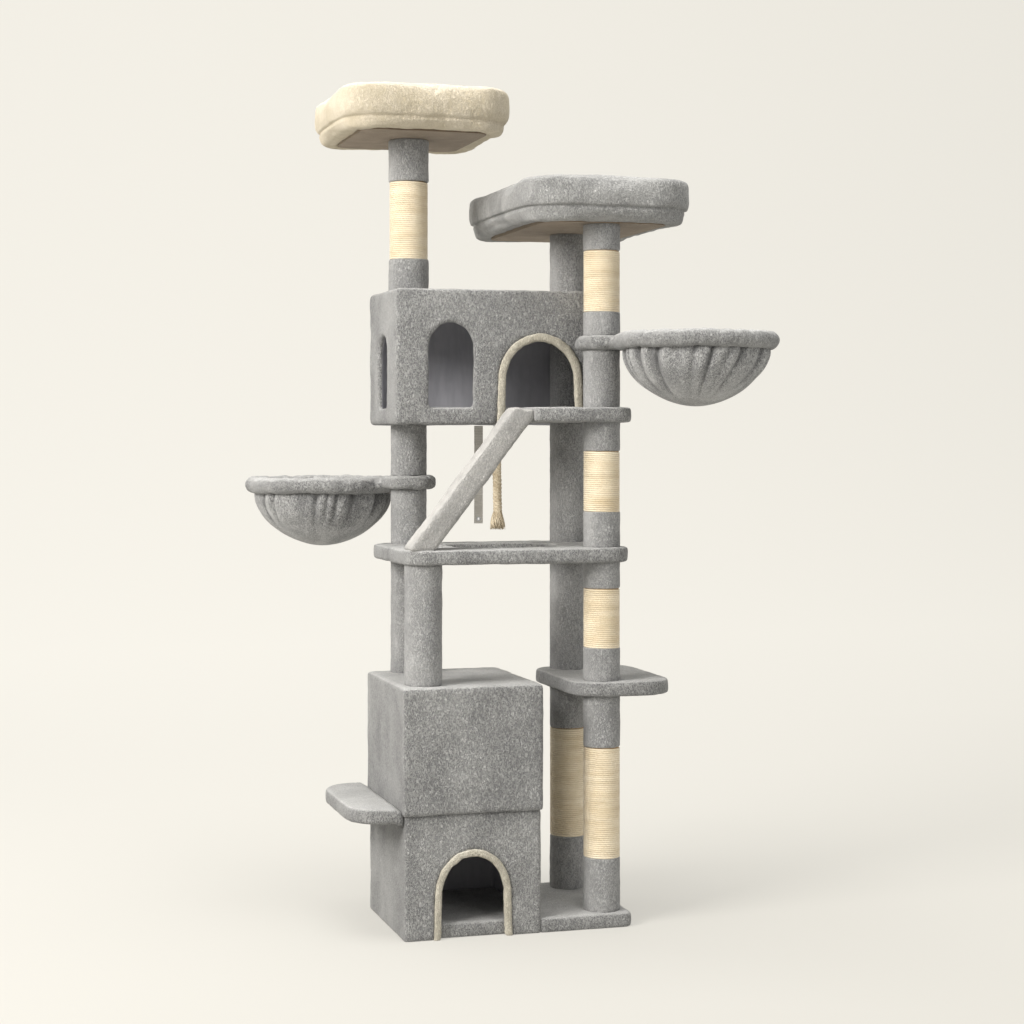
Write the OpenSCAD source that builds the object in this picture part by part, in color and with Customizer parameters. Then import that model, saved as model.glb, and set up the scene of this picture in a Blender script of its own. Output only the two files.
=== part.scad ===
// Tall cat tree: base, two stacked houses, a climbing ramp, a condo, two
// perch beds and two swivelling hammocks on plush and sisal posts.
// Origin: centre of the base's underside. +X right, +Y back, +Z up. Millimetres.

/* [Base] */
// Width of the base board, left to right
base_w = 570; // [566:1:580]
// Depth of the base board, front to back
base_d = 395; // [394:1:400]
// Thickness of the base board with its plush
base_t = 34; // [30:1:38]
// Thickness of a plush-covered house panel
panel_t = 14; // [12:0.5:15]
// Thickness of a plush-covered shelf
shelf_t = 33; // [30:1:36]

/* [Levels] */
// Top of the shelf between the two houses
shelf_top = 300; // [295:1:305]
// Top of the upper house
house_top = 603; // [595:1:610]
// Top of the small step on the right
step_top = 600; // [595:1:605]
// Top of the middle platform
platform_top = 929; // [920:1:935]
// Top of the condo's floor and its porch
floor_top = 1273; // [1265:1:1280]
// Top of the condo's roof
roof_top = 1557; // [1550:1:1565]
// Underside of the right perch
right_perch_z = 1726; // [1715:1:1735]
// Underside of the left perch
left_perch_z = 1955; // [1945:1:1965]

/* [Posts] */
// Radius over the plush of a post
post_r = 46; // [45:0.5:47]
// Outer radius of the cardboard tube
tube_r = 42; // [41:0.5:42.5]
// Wall of the cardboard tube
tube_wall = 4; // [3:0.5:5]
// Radius over the sisal winding
sisal_r = 45.4; // [44.5:0.1:45.8]
// Radius of the studs that join the posts
stud_r = 4; // [3:0.5:4]

/* [Perches] */
// Width of the left perch over its bolster
left_perch_w = 430; // [415:5:440]
// Depth of the left perch over its bolster
left_perch_d = 470; // [450:5:480]
// Width of the right perch over its bolster
right_perch_w = 430; // [420:5:440]
// Depth of the right perch over its bolster
right_perch_d = 640; // [620:5:650]
// Height of a bolster
bolster_h = 70; // [60:1:76]
// Height of the wrapped border under a bolster
wrap_h = 36; // [32:1:40]

/* [Hammocks] */
// Radius over the plush rim
hammock_r = 199; // [194:1:202]
// Radius of the plush sleeve round the hoop
rim_r = 20; // [17:0.5:21]
// Depth of the bowl below the rim
bowl_depth = 138; // [120:1:142]
// Distance from the post to the middle of the hoop
hammock_reach = 253; // [252:1:256]
// Height of the collar between two post lengths
collar_h = 33; // [31:1:35]
// Underside of the left hammock's collar
left_collar_z = 1070; // [1065:1:1080]
// Underside of the right hammock's collar
right_collar_z = 1417; // [1412:1:1422]

/* [Hidden] */
$fn = 72;

// Colours
plush = [0.63, 0.63, 0.63];
cream = [0.87, 0.80, 0.68];
sisal = [0.90, 0.84, 0.66];
taupe = [0.58, 0.52, 0.47];
steel = [0.72, 0.73, 0.75];
card = [0.66, 0.54, 0.40];
birch = [0.80, 0.68, 0.50];

// Small gaps: between pieces of one body, and between two bodies
fit_gap = 0.2;
body_gap = 0.4;
// Clearance of a hole round a stud, and of the swivel that turns on it
hole_gap = 0.4;
swivel_gap = 0.05;

// Post positions [x, y]
front_right = [227, -141.6];
rear_right = [227, 132];
front_left = [-227, -141.6];
rear_left = [-195, 139];

// Undersides of the boards
step_z = step_top - 32;
platform_z = platform_top - shelf_t;
floor_z = floor_top - shelf_t;
roof_t = 17;
roof_z = roof_top - roof_t;

// Post lengths: [[x, y], bottom, top, [sisal bands as [bottom, top]]]
front_right_posts = [
    [front_right, base_t, step_z, [[167, 438]]],
    [front_right, step_top, platform_z, [[683, 829]]],
    [front_right, platform_top, floor_z, [[1018, 1167]]],
    [front_right, floor_top, right_collar_z - body_gap, []],
    [front_right, right_collar_z + collar_h + body_gap, right_perch_z, [[1510, 1661]]]
];
rear_right_posts = [
    [rear_right, base_t, step_z, [[171, 450]]],
    [rear_right, step_top, platform_z, []],
    [rear_right, platform_top, floor_z, []],
    [rear_right, floor_top, roof_z, []],
    [rear_right, roof_top, right_perch_z, []]
];
left_posts = [
    [front_left, house_top, platform_z, []],
    [rear_left, house_top, platform_z, []],
    [rear_left, platform_top, left_collar_z - body_gap, []],
    [rear_left, left_collar_z + collar_h + body_gap, floor_z, []],
    [rear_left, roof_top, left_perch_z, [[1652, 1849]]]
];
all_posts = concat(front_right_posts, rear_right_posts, left_posts);

// Junctions: [[x, y], lowest, highest z of the stud through what lies between]
stud_reach = 22;
plug_t = 14;
junctions = [
    [front_right, step_z, step_top], [front_right, platform_z, platform_top],
    [front_right, floor_z, floor_top],
    [front_right, right_collar_z, right_collar_z + collar_h],
    [rear_right, step_z, step_top], [rear_right, platform_z, platform_top],
    [rear_right, floor_z, floor_top], [rear_right, roof_z, roof_top],
    [rear_left, platform_z, platform_top],
    [rear_left, left_collar_z, left_collar_z + collar_h],
];

// ---- shared shapes ----------------------------------------------------------

// Outline of a rectangle with a radius at each corner:
// r = [front left, front right, back right, back left]
module rounded_outline(x0, x1, y0, y1, r) {
    polygon([
        [x0 + r[0], y0], [x1 - r[1], y0], [x1, y0 + r[1]], [x1, y1 - r[2]],
        [x1 - r[2], y1], [x0 + r[3], y1], [x0, y1 - r[3]], [x0, y0 + r[0]]
    ]);
    translate([x0 + r[0], y0 + r[0]]) circle(r[0]);
    translate([x1 - r[1], y0 + r[1]]) circle(r[1]);
    translate([x1 - r[2], y1 - r[2]]) circle(r[2]);
    translate([x0 + r[3], y1 - r[3]]) circle(r[3]);
}

module slab(x0, x1, y0, y1, z0, z1, r) {
    translate([0, 0, z0])
        linear_extrude(z1 - z0)
            rounded_outline(x0, x1, y0, y1, r);
}

module block(x0, x1, y0, y1, z0, z1) {
    translate([x0, y0, z0])
        cube([x1 - x0, y1 - y0, z1 - z0]);
}

module stud_hole(p, z0, z1) {
    translate([p[0], p[1], z0 - 1])
        cylinder(r = stud_r + hole_gap, h = z1 - z0 + 2);
}

// Points of an arched opening that stands on z = 0
arch_steps = 24;
function arch_points(foot_w, w, spring, top) = concat(
    [[-foot_w / 2, 0]],
    [for (i = [0:arch_steps])
        let (a = 180 - 180 * i / arch_steps)
            [w / 2 * cos(a), spring + (top - spring) * sin(a)]],
    [[foot_w / 2, 0]]
);

// An arch pushed along +Y from y0 to y1, centred on x, standing on z
module arch_y(x, y0, y1, z, foot_w, w, spring, top) {
    translate([x, y1, z])
        rotate([90, 0, 0])
            linear_extrude(y1 - y0)
                polygon(arch_points(foot_w, w, spring, top));
}

// The same arch pushed along +X from x0 to x1
module arch_x(x0, x1, y, z, foot_w, w, spring, top) {
    translate([x0, y, z])
        rotate([90, 0, 90])
            linear_extrude(x1 - x0)
                polygon(arch_points(foot_w, w, spring, top));
}

// ---- base and houses --------------------------------------------------------

// The base board reaches a little further on the posts' side
base_lip = 5;

// Lower house, with the upper one a little larger all round
lower_x0 = -285;
lower_x1 = 53;
lower_y0 = -197.5;
lower_y1 = 184;
upper_x0 = -290;
upper_x1 = 56;
upper_y0 = -207;
upper_y1 = 190;
lower_top = shelf_top - 28;
house_roof_z = house_top - 17;

// Doorway of the lower house: centre, inner width, arch top; piping round it
lower_door_x = -117;
lower_door_w = 158;
lower_door_top = 197;
lower_door_spring = 105;
trim_w = 14;
trim_proud = 4;

module base_board() {
    color(plush)
        difference() {
            slab(-base_w / 2, base_w / 2 + base_lip, -base_d / 2, base_d / 2, 0, base_t,
                 [4, 22, 22, 22]);
            // room for the house's front and left panels
            block(-base_w / 2 - 1, lower_x1, -base_d / 2 - 1, lower_y0 + panel_t, -1, base_t + 1);
            block(-base_w / 2 - 1, lower_x0 + panel_t, -base_d / 2, lower_y1, -1, base_t + 1);
            for (p = [front_right, rear_right]) {
                stud_hole(p, 0, base_t);
                translate([p[0], p[1], -1])
                    cylinder(r = 13, h = bolt_recess + 1);
            }
        }
}

module lower_house_front() {
    color(plush)
        difference() {
            block(lower_x0, lower_x1, lower_y0, lower_y0 + panel_t, 0, shelf_top);
            arch_y(lower_door_x, lower_y0 - 1, lower_y0 + panel_t + 1, -1,
                   lower_door_w + 2 * trim_w + 7, lower_door_w + 2 * trim_w + 1,
                   lower_door_spring + 1, lower_door_top + trim_w + 1.5);
        }
}

module lower_door_trim() {
    color(cream)
        difference() {
            arch_y(lower_door_x, lower_y0 - trim_proud, lower_y0 + panel_t, 0,
                   lower_door_w + 2 * trim_w + 6, lower_door_w + 2 * trim_w,
                   lower_door_spring, lower_door_top + trim_w);
            arch_y(lower_door_x, lower_y0 - trim_proud - 1, lower_y0 + panel_t + 1, -1,
                   lower_door_w + 6, lower_door_w, lower_door_spring + 1, lower_door_top + 1);
        }
}

module lower_house_left() {
    color(plush)
        block(lower_x0, lower_x0 + panel_t, lower_y0 + panel_t, lower_y1, 0, lower_top);
}

module lower_house_right() {
    color(plush)
        block(lower_x1 - panel_t, lower_x1, lower_y0 + panel_t, lower_y1, base_t, shelf_top);
}

module lower_house_back() {
    color(plush)
        block(lower_x0 + panel_t, lower_x1 - panel_t, lower_y1 - panel_t, lower_y1,
              base_t, lower_top);
}

// Shelf between the houses; its left end sticks out as a step
ledge_x = -410;
ledge_r = 88;
ledge_t = 35;

module middle_shelf() {
    color(plush) {
        intersection() {
            slab(ledge_x, lower_x1, lower_y0 - 2, lower_y1 + 30, lower_top,
                 lower_top + ledge_t, [ledge_r, ledge_r, ledge_r, ledge_r]);
            block(ledge_x, upper_x0 - fit_gap, lower_y0 - 2, lower_y1 + 30, lower_top, house_top);
        }
        block(upper_x0 - 1, lower_x0 + 0.01, lower_y0 + panel_t + fit_gap, lower_y1,
              lower_top, shelf_top);
        block(lower_x0, lower_x1 - panel_t, lower_y0 + panel_t + fit_gap, lower_y1,
              lower_top, shelf_top);
    }
}

module upper_house_front() {
    color(plush)
        block(upper_x0, upper_x1, upper_y0, upper_y0 + panel_t, shelf_top, house_top);
}

module upper_house_left() {
    color(plush)
        block(upper_x0, upper_x0 + panel_t, upper_y0 + panel_t, upper_y1, shelf_top, house_top);
}

// Entrance on the side that faces the posts
side_door_w = 150;
side_door_sill = 30;

module upper_house_right() {
    color(plush)
        difference() {
            block(upper_x1 - panel_t, upper_x1, upper_y0 + panel_t, upper_y1,
                  shelf_top, house_top);
            arch_x(upper_x1 - panel_t - 1, upper_x1 + 1, -20, shelf_top + side_door_sill,
                   side_door_w, side_door_w, 110, 200);
        }
}

module upper_house_back() {
    color(plush)
        block(upper_x0 + panel_t, upper_x1 - panel_t, upper_y1 - panel_t, upper_y1,
              shelf_top, house_top);
}

module upper_house_top() {
    color(plush)
        difference() {
            block(upper_x0 + panel_t, upper_x1 - panel_t, upper_y0 + panel_t,
                  upper_y1 - panel_t, house_roof_z, house_top);
            for (p = [front_left, rear_left])
                stud_hole(p, house_roof_z, house_top);
        }
}

// ---- shelves ----------------------------------------------------------------

module right_step() {
    color(plush)
        difference() {
            slab(145, 402, -206, 190, step_z, step_top, [90, 85, 85, 60]);
            for (p = [front_right, rear_right])
                stud_hole(p, step_z, step_top);
        }
}

// Climb-through hole of the middle platform
gap_x0 = -120;
gap_x1 = 150;
gap_y0 = -112;
gap_y1 = 112;
gap_r = 78;

module middle_platform() {
    color(plush)
        difference() {
            slab(-283, 290, -203, 200, platform_z, platform_top, [60, 60, 60, 60]);
            slab(gap_x0, gap_x1, gap_y0, gap_y1, platform_z - 1, platform_top + 1,
                 [gap_r, gap_r, gap_r, gap_r]);
            for (p = [front_right, rear_right, front_left, rear_left])
                stud_hole(p, platform_z, platform_top);
            // the front left bolt's head lies flush under the ramp's foot
            translate([front_left[0], front_left[1], platform_top - bolt_head_t - 1])
                cylinder(r = bolt_head_r + 1, h = bolt_head_t + 2);
        }
}

// Ramp: a padded beam from the platform up to the porch's left end
ramp_foot = [-243, platform_top];
ramp_head = [13, 1262];
ramp_t = 48;
ramp_y0 = -193;
ramp_y1 = -127;
ramp_len = norm(ramp_head - ramp_foot);
ramp_angle = atan2(ramp_head[1] - ramp_foot[1], ramp_head[0] - ramp_foot[0]);
ramp_corner = 12;
porch_x0 = 38.5;

module ramp() {
    color(plush)
        difference() {
            translate([ramp_foot[0], ramp_y1, ramp_foot[1]])
                rotate([90, 0, 0])
                    linear_extrude(ramp_y1 - ramp_y0)
                        rotate(ramp_angle)
                            rounded_outline(-60, ramp_len, -ramp_t / 2, ramp_t / 2,
                                            [1, ramp_corner, ramp_corner, 1]);
            block(-400, 100, -300, 0, platform_top - 100, platform_top);
            ramp_bolt_room();
        }
}

// Bolts: up through the platform into the foot, and across from the porch
ramp_bolt_y = [-176, -144];
ramp_bolt_r = 3;

module ramp_bolt_room() {
    for (y = ramp_bolt_y) {
        translate([ramp_foot[0] + 4, y, platform_top - 1])
            cylinder(r = ramp_bolt_r + fit_gap, h = 24);
        translate([porch_x0 - 32, y, floor_top - 16])
            rotate([0, 90, 0])
                cylinder(r = ramp_bolt_r + fit_gap, h = 50);
    }
}

module ramp_bolts() {
    color(steel)
        for (y = ramp_bolt_y) {
            translate([ramp_foot[0] + 4, y, platform_top])
                cylinder(r = ramp_bolt_r, h = 22);
            translate([porch_x0 - 30, y, floor_top - 16])
                rotate([0, 90, 0])
                    cylinder(r = ramp_bolt_r, h = 30);
        }
}

// ---- condo ------------------------------------------------------------------

condo_x0 = -279;
condo_x1 = 290;
condo_y0 = -76.5;
condo_y1 = 215;
condo_t = 15;
condo_hem_z = 1232;

// Arched openings: window in front, window at the left, door over the porch
front_window_x = -139;
front_window_w = 114;
door_x = 90;
door_w = 182;
door_top = 1440;
door_trim_w = 17;
left_window_y = 74;
left_window_w = 96;

module condo_floor() {
    color(plush)
        difference() {
            union() {
                block(condo_x0 + condo_t, condo_x1, condo_y0 + condo_t,
                      condo_y1 - condo_t, floor_z, floor_top);
                slab(porch_x0, condo_x1 + 4, -203, condo_y0 + condo_t + 0.01,
                     floor_z, floor_top, [4, 45, 0.1, 0.1]);
            }
            for (p = [front_right, rear_right])
                stud_hole(p, floor_z, floor_top);
            stud_hole(rear_left, floor_z, floor_top);
            for (y = ramp_bolt_y)
                translate([porch_x0 - 1, y, floor_top - 16])
                    rotate([0, 90, 0])
                        cylinder(r = ramp_bolt_r + fit_gap, h = 3);
        }
}

module door_arch(y0, y1, grow) {
    arch_y(door_x, y0, y1, condo_hem_z - 0.01, door_w + 2 * grow + 8, door_w + 2 * grow,
           1343 - condo_hem_z, door_top + grow - condo_hem_z);
}

module condo_front() {
    color(plush)
        difference() {
            block(condo_x0, condo_x1, condo_y0, condo_y0 + condo_t, condo_hem_z, roof_top);
            // the porch passes under the right part of the panel
            block(porch_x0, condo_x1 + 1, condo_y0 - 1, condo_y0 + condo_t + 1,
                  condo_hem_z - 1, floor_top);
            intersection() {
                door_arch(condo_y0 - 1, condo_y0 + condo_t + 1, door_trim_w);
                block(-400, 400, condo_y0 - 2, condo_y0 + condo_t + 2, condo_hem_z - 1, roof_top);
            }
            arch_y(front_window_x, condo_y0 - 1, condo_y0 + condo_t + 1, floor_top,
                   front_window_w, front_window_w, 152, 209);
        }
}

module condo_door_trim() {
    color(cream)
        difference() {
            door_arch(condo_y0 - trim_proud, condo_y0 + condo_t, door_trim_w);
            door_arch(condo_y0 - trim_proud - 1, condo_y0 + condo_t + 1, 0);
            block(porch_x0 - 8, condo_x1, condo_y0 - 10, condo_y0 + condo_t + 2,
                  condo_hem_z - 1, floor_top);
        }
}

module condo_left() {
    color(plush)
        difference() {
            block(condo_x0, condo_x0 + condo_t, condo_y0 + condo_t, condo_y1,
                  condo_hem_z, roof_top);
            arch_x(condo_x0 - 1, condo_x0 + condo_t + 1, left_window_y, floor_top,
                   left_window_w, left_window_w, 134, 182);
        }
}

module condo_right() {
    color(plush)
        block(condo_x1 - condo_t, condo_x1, condo_y0 + condo_t, condo_y1, floor_top, roof_top);
}

module condo_back() {
    color(plush)
        difference() {
            block(condo_x0 + condo_t, condo_x1, condo_y1 - condo_t, condo_y1,
                  condo_hem_z, roof_top);
            block(condo_x1 - condo_t, condo_x1 + 1, condo_y1 - condo_t - 1, condo_y1 + 1,
                  floor_top, roof_top + 1);
        }
}

module condo_roof() {
    color(plush)
        difference() {
            block(condo_x0 + condo_t, condo_x1 - condo_t, condo_y0 + condo_t,
                  condo_y1 - condo_t, roof_z, roof_top);
            for (p = [rear_right, rear_left])
                stud_hole(p, roof_z, roof_top);
        }
}

// ---- posts ------------------------------------------------------------------

module ring(p, z0, z1, r_in, r_out) {
    translate([p[0], p[1], z0])
        difference() {
            cylinder(r = r_out, h = z1 - z0);
            translate([0, 0, -1])
                cylinder(r = r_in, h = z1 - z0 + 2);
        }
}

module tubes(posts) {
    color(card)
        for (s = posts)
            ring(s[0], s[1], s[2], tube_r - tube_wall, tube_r);
}

// Plush fills each post length above and below its sisal bands
module plush_sleeves(posts) {
    color(plush)
        for (s = posts) {
            edges = concat([s[1]], [for (band = s[3]) for (z = band) z], [s[2]]);
            for (i = [0:2:len(edges) - 2])
                ring(s[0], edges[i], edges[i + 1], tube_r + fit_gap, post_r);
        }
}

module sisal_wraps(posts) {
    color(sisal)
        for (s = posts)
            for (band = s[3])
                ring(s[0], band[0], band[1], tube_r + fit_gap, sisal_r);
}

module front_right_tubes() { tubes(front_right_posts); }
module rear_right_tubes() { tubes(rear_right_posts); }
module left_tubes() { tubes(left_posts); }
module front_right_plush() { plush_sleeves(front_right_posts); }
module rear_right_plush() { plush_sleeves(rear_right_posts); }
module left_plush() { plush_sleeves(left_posts); }
module front_right_sisal() { sisal_wraps(front_right_posts); }
module rear_right_sisal() { sisal_wraps(rear_right_posts); }
module left_sisal() { sisal_wraps(left_posts); }

// A tapped plug in both ends of every tube
module post_end_plugs() {
    color(birch)
        for (s = all_posts) {
            ring(s[0], s[1], s[1] + plug_t, stud_r + fit_gap, tube_r - tube_wall - fit_gap);
            ring(s[0], s[2] - plug_t, s[2], stud_r + fit_gap, tube_r - tube_wall - fit_gap);
        }
}

module post_studs() {
    color(steel)
        for (j = junctions)
            translate([j[0][0], j[0][1], j[1] - stud_reach])
                cylinder(r = stud_r, h = j[2] - j[1] + 2 * stud_reach);
}

// Bolts at the free ends of the posts: [[x, y], head plane, direction]
bolt_recess = 7;
bolt_head_r = 11;
bolt_head_t = 4;
bolt_ends = [
    [front_right, bolt_recess, base_t, 1], [rear_right, bolt_recess, base_t, 1],
    [front_left, house_roof_z, house_top, 1], [rear_left, house_roof_z, house_top, 1],
    [front_left, platform_top - bolt_head_t - 1, platform_z, -1],
    [rear_left, floor_top, floor_z, -1], [rear_left, roof_z, roof_top, 1],
    [front_right, right_perch_z + 12, right_perch_z, -1],
    [rear_right, right_perch_z + 12, right_perch_z, -1],
    [rear_left, left_perch_z + 12, left_perch_z, -1]
];

module post_bolts() {
    color(steel)
        for (b = bolt_ends) {
            low = b[3] > 0 ? b[1] - bolt_head_t : b[2] - stud_reach;
            high = b[3] > 0 ? b[2] + stud_reach : b[1] + bolt_head_t;
            translate([b[0][0], b[0][1], low])
                cylinder(r = stud_r, h = high - low);
            translate([b[0][0], b[0][1], b[3] > 0 ? b[1] - bolt_head_t : b[1]])
                cylinder(r = bolt_head_r, h = bolt_head_t);
        }
}

// Screws along the house and condo edges, seen as flat heads inside
screw_r = 2;
screw_head_r = 4;
module panel_screw(x, y, z) {
    translate([x, y, z])
        cylinder(r = screw_r, h = 12);
    translate([x, y, z - 2])
        cylinder(r = screw_head_r, h = 2);
}

module panel_screws() {
    color(steel)
        for (x = [-240, -120, 0])
            for (y = [-40, 60])
                panel_screw(x, y, lower_top);
}

// ---- perches ----------------------------------------------------------------

left_perch_centre = [-190, 140];
right_perch_centre = [230, 74];
perch_corner = 95;
border = 30;
bulge = 26;
bolster_t = 74;
board_t = 12;

// Outline of a perch, drawn in by `inset` from the bolster's outside
module perch_outline(c, w, d, inset) {
    r = perch_corner - inset;
    rounded_outline(c[0] - w / 2 + inset, c[0] + w / 2 - inset,
                    c[1] - d / 2 + inset, c[1] + d / 2 - inset, [r, r, r, r]);
}

module perch_layer(c, w, d, z0, z1, outer, inner) {
    translate([0, 0, z0])
        linear_extrude(z1 - z0)
            difference() {
                perch_outline(c, w, d, outer);
                if (inner > 0)
                    perch_outline(c, w, d, inner);
            }
}

module perch_board(c, w, d, z, posts) {
    color(taupe)
        difference() {
            perch_layer(c, w, d, z, z + board_t, bulge + border, 0);
            for (p = posts)
                stud_hole(p, z, z + board_t);
        }
}

module perch_wrap(c, w, d, z) {
    color(plush)
        perch_layer(c, w, d, z, z + wrap_h, bulge / 2, bulge + border - fit_gap);
}

module perch_bolster(c, w, d, z) {
    color(plush)
        perch_layer(c, w, d, z + wrap_h, z + wrap_h + bolster_h, 0, bolster_t);
}

// Inner pad, which covers the board and its bolt heads
cushion_t = 34;
module perch_cushion(c, w, d, z) {
    color(plush)
        perch_layer(c, w, d, z + board_t + bolt_head_t + 1, z + wrap_h + cushion_t - 18,
                    bolster_t + 1, 0);
}

module left_perch_board() {
    perch_board(left_perch_centre, left_perch_w, left_perch_d, left_perch_z, [rear_left]);
}
module left_perch_wrap() {
    perch_wrap(left_perch_centre, left_perch_w, left_perch_d, left_perch_z);
}
module left_perch_bolster() {
    perch_bolster(left_perch_centre, left_perch_w, left_perch_d, left_perch_z);
}
module left_perch_cushion() {
    perch_cushion(left_perch_centre, left_perch_w, left_perch_d, left_perch_z);
}
module right_perch_board() {
    perch_board(right_perch_centre, right_perch_w, right_perch_d, right_perch_z,
                [front_right, rear_right]);
}
module right_perch_wrap() {
    perch_wrap(right_perch_centre, right_perch_w, right_perch_d, right_perch_z);
}
module right_perch_bolster() {
    perch_bolster(right_perch_centre, right_perch_w, right_perch_d, right_perch_z);
}
module right_perch_cushion() {
    perch_cushion(right_perch_centre, right_perch_w, right_perch_d, right_perch_z);
}

// ---- hammocks ---------------------------------------------------------------

// Each hammock is drawn reaching along +X from its post, then turned
left_hammock_turn = 137.5;
right_hammock_turn = -45;
hoop_wire_r = 4;
hoop_centre_r = hammock_r - rim_r;
hub_r = 32;
hub_t = 6;
arm_w = 22;
left_collar_r = 68;
right_collar_r = 64;
bowl_steps = 14;
bowl_wall = 5;

// The hoop hangs a little below the middle of its collar
left_droop = 8;
right_droop = 0;

module hammock_place(p, z, turn) {
    translate([p[0], p[1], z + collar_h / 2])
        rotate([0, 0, turn])
            children();
}

module hoop_ring(r) {
    translate([hammock_reach, 0, 0])
        rotate_extrude()
            translate([hoop_centre_r, 0])
                circle(r, $fn = 24);
}

module bracket_blank(grow) {
    cylinder(r = hub_r + grow, h = hub_t + 2 * grow, center = true);
    arm_end = hammock_reach - hoop_centre_r;
    translate([0, -arm_w / 2 - grow, -hub_t / 2 - grow])
        cube([arm_end, arm_w + 2 * grow, hub_t + 2 * grow]);
}

module hammock_bracket(p, z, turn, droop) {
    color(steel)
        hammock_place(p, z - droop, turn)
            difference() {
                bracket_blank(0);
                cylinder(r = stud_r + swivel_gap, h = hub_t + 2, center = true);
            }
}

module hammock_hoop(p, z, turn, droop) {
    color(steel)
        hammock_place(p, z - droop, turn)
            hoop_ring(hoop_wire_r);
}

module hammock_collar(p, z, turn, droop, collar_r) {
    color(plush)
        hammock_place(p, z, turn)
            difference() {
                cylinder(r = collar_r, h = collar_h, center = true);
                cylinder(r = stud_r + 1, h = collar_h + 2, center = true);
                translate([0, 0, -droop]) {
                    bracket_blank(fit_gap);
                    hoop_ring(rim_r + fit_gap);
                }
            }
}

module hammock_rim(p, z, turn, droop) {
    color(plush)
        hammock_place(p, z - droop, turn)
            difference() {
                hoop_ring(rim_r);
                hoop_ring(hoop_wire_r + fit_gap);
                bracket_blank(fit_gap);
            }
}

// Half outline of the gathered bowl, t from 0 at the rim to 1 at the bottom
function bowl_edge(r, depth) = [for (i = [0:bowl_steps])
    let (t = sin(90 * i / bowl_steps)) [r * pow(1 - t * t, 0.55), -rim_r - depth * t]];
function reversed(a) = [for (i = [len(a) - 1:-1:0]) a[i]];
bowl_r = hoop_centre_r - 2;

module hammock_bowl(p, z, turn, droop) {
    color(plush)
        hammock_place(p, z - droop, turn)
            translate([hammock_reach, 0, 0])
                rotate_extrude()
                    polygon(concat(bowl_edge(bowl_r, bowl_depth),
                                   reversed(bowl_edge(bowl_r - bowl_wall,
                                                      bowl_depth - bowl_wall))));
}

module left_hammock_bracket() {
    hammock_bracket(rear_left, left_collar_z, left_hammock_turn, left_droop);
}
module left_hammock_hoop() {
    hammock_hoop(rear_left, left_collar_z, left_hammock_turn, left_droop);
}
module left_hammock_collar() {
    hammock_collar(rear_left, left_collar_z, left_hammock_turn, left_droop,
                   left_collar_r);
}
module left_hammock_rim() {
    hammock_rim(rear_left, left_collar_z, left_hammock_turn, left_droop);
}
module left_hammock_bowl() {
    hammock_bowl(rear_left, left_collar_z, left_hammock_turn, left_droop);
}
module right_hammock_bracket() {
    hammock_bracket(front_right, right_collar_z, right_hammock_turn, right_droop);
}
module right_hammock_hoop() {
    hammock_hoop(front_right, right_collar_z, right_hammock_turn, right_droop);
}
module right_hammock_collar() {
    hammock_collar(front_right, right_collar_z, right_hammock_turn, right_droop,
                   right_collar_r);
}
module right_hammock_rim() {
    hammock_rim(front_right, right_collar_z, right_hammock_turn, right_droop);
}
module right_hammock_bowl() {
    hammock_bowl(front_right, right_collar_z, right_hammock_turn, right_droop);
}

// ---- rope toy and strap -----------------------------------------------------

// Rope: hangs from a screw eye under the condo floor
rope_x = 6;
rope_y = 30;
rope_r = 11.5;
rope_sides = 10;
eye_z = floor_z - 9;
rope_path = [
    [6, 30, 1222], [6, 30, 1206], [6, 30, 1188], [6, 30, 1168], [7, 30, 1148],
    [7, 30, 1128], [7, 30, 1108], [8, 30, 1088], [8, 30, 1068], [8, 30, 1048],
    [9, 30, 1028], [9, 30, 1010]
];
tassel_h = 42;

// Tube of radius r along points that run mostly downwards
module hanging_tube(path, r, sides) {
    n = len(path);
    points = [for (c = path) for (k = [0:sides - 1])
        c + [r * cos(360 * k / sides), r * sin(360 * k / sides), 0]];
    walls = [for (i = [0:n - 2]) for (k = [0:sides - 1])
        let (a = i * sides + k, b = i * sides + (k + 1) % sides)
            [a, b, b + sides, a + sides]];
    first = [[for (k = [sides - 1:-1:0]) k]];
    last = [[for (k = [0:sides - 1]) (n - 1) * sides + k]];
    polyhedron(points, concat(first, walls, last));
}

module rope_eye() {
    color(steel) {
        translate([rope_x, rope_y, eye_z])
            rotate([90, 0, 0])
                rotate_extrude()
                    translate([6.5, 0])
                        circle(1.5, $fn = 24);
        translate([rope_x, rope_y, eye_z + 6.5])
            cylinder(r = 1.5, h = floor_z - eye_z - 6.5);
    }
}

module rope_toy() {
    color(sisal)
        hanging_tube(rope_path, rope_r, rope_sides);
}

module rope_tassel() {
    color(sisal)
        translate([rope_path[11][0], rope_path[11][1], rope_path[11][2] - tassel_h])
            cylinder(r1 = 22, r2 = rope_r, h = tassel_h);
}

// Wall strap: webbing that hangs behind the condo floor, with a steel eyelet
strap_x = 8;
strap_w = 23;
strap_t = 1.8;
strap_y = 206;
strap_top_z = condo_hem_z - 1.5;
strap_end_z = 977;
eyelet_z = strap_end_z + 12;
eyelet_r = 2.6;

module strap() {
    color([0.80, 0.79, 0.77])
        difference() {
            block(strap_x - strap_w / 2, strap_x + strap_w / 2, strap_y - strap_t / 2,
                  strap_y + strap_t / 2, strap_end_z, strap_top_z);
            translate([strap_x, strap_y + 5, eyelet_z])
                rotate([90, 0, 0])
                    cylinder(r = 4, h = 10);
        }
}

module strap_eyelet() {
    color(steel)
        translate([strap_x, strap_y + 1.6, eyelet_z])
            rotate([90, 0, 0])
                difference() {
                    union() {
                        cylinder(r = 4 - fit_gap, h = 3.2);
                        cylinder(r = 5.6, h = 0.6);
                        translate([0, 0, 2.6])
                            cylinder(r = 5.6, h = 0.6);
                    }
                    translate([0, 0, -1])
                        cylinder(r = eyelet_r, h = 6);
                }
}

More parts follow.
